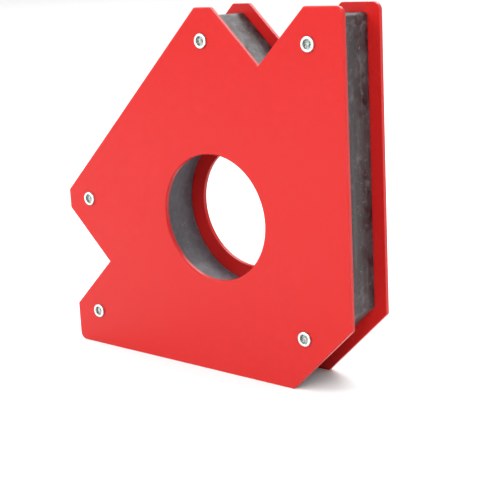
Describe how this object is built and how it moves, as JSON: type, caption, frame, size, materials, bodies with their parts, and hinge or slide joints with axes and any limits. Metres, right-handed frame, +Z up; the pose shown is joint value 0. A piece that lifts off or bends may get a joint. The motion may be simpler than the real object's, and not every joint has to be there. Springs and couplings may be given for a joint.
{
  "type": "magnetic welding holder",
  "caption": "Arrow-shaped magnetic welding holder: red steel plates riveted over a magnet core, with a round hole and right-angle notches for holding steel at set angles.",
  "frame": {"origin": "centre of the bounding box's bottom face: on the floor under the middle of the holder, which stands on its bottom working edge", "axes": "+X along the base edge towards the vertical working edge, +Y from the front plate to the rear plate, +Z up"},
  "size_m": [0.14, 0.0268, 0.14],
  "materials": {
    "red_powder_coat": "semi-gloss red powder coat on steel plate",
    "core_moulding": "dark grey moulded filler, scuffed and mottled",
    "ferrite": "sintered ferrite, ground faces",
    "rivet_zinc": "bright zinc plate on a steel rivet"
  },
  "bodies": {
    "root": {"core_frame": "core_moulding", "front_plate": "red_powder_coat", "magnet_base_1_front": "ferrite", "magnet_base_1_rear": "ferrite", "magnet_base_2_front": "ferrite", "magnet_base_2_rear": "ferrite", "magnet_base_3_front": "ferrite", "magnet_base_3_rear": "ferrite", "magnet_diagonal_1_front": "ferrite", "magnet_diagonal_1_rear": "ferrite", "magnet_diagonal_2_front": "ferrite", "magnet_diagonal_2_rear": "ferrite", "magnet_diagonal_3_front": "ferrite", "magnet_diagonal_3_rear": "ferrite", "magnet_side_1_front": "ferrite", "magnet_side_1_rear": "ferrite", "magnet_side_2_front": "ferrite", "magnet_side_2_rear": "ferrite", "magnet_side_3_front": "ferrite", "magnet_side_3_rear": "ferrite", "rear_plate": "red_powder_coat", "rivet_left_horn": "rivet_zinc", "rivet_lower_finger": "rivet_zinc", "rivet_nose": "rivet_zinc", "rivet_top_finger": "rivet_zinc", "rivet_top_horn": "rivet_zinc"}
  },
  "joints": []
}
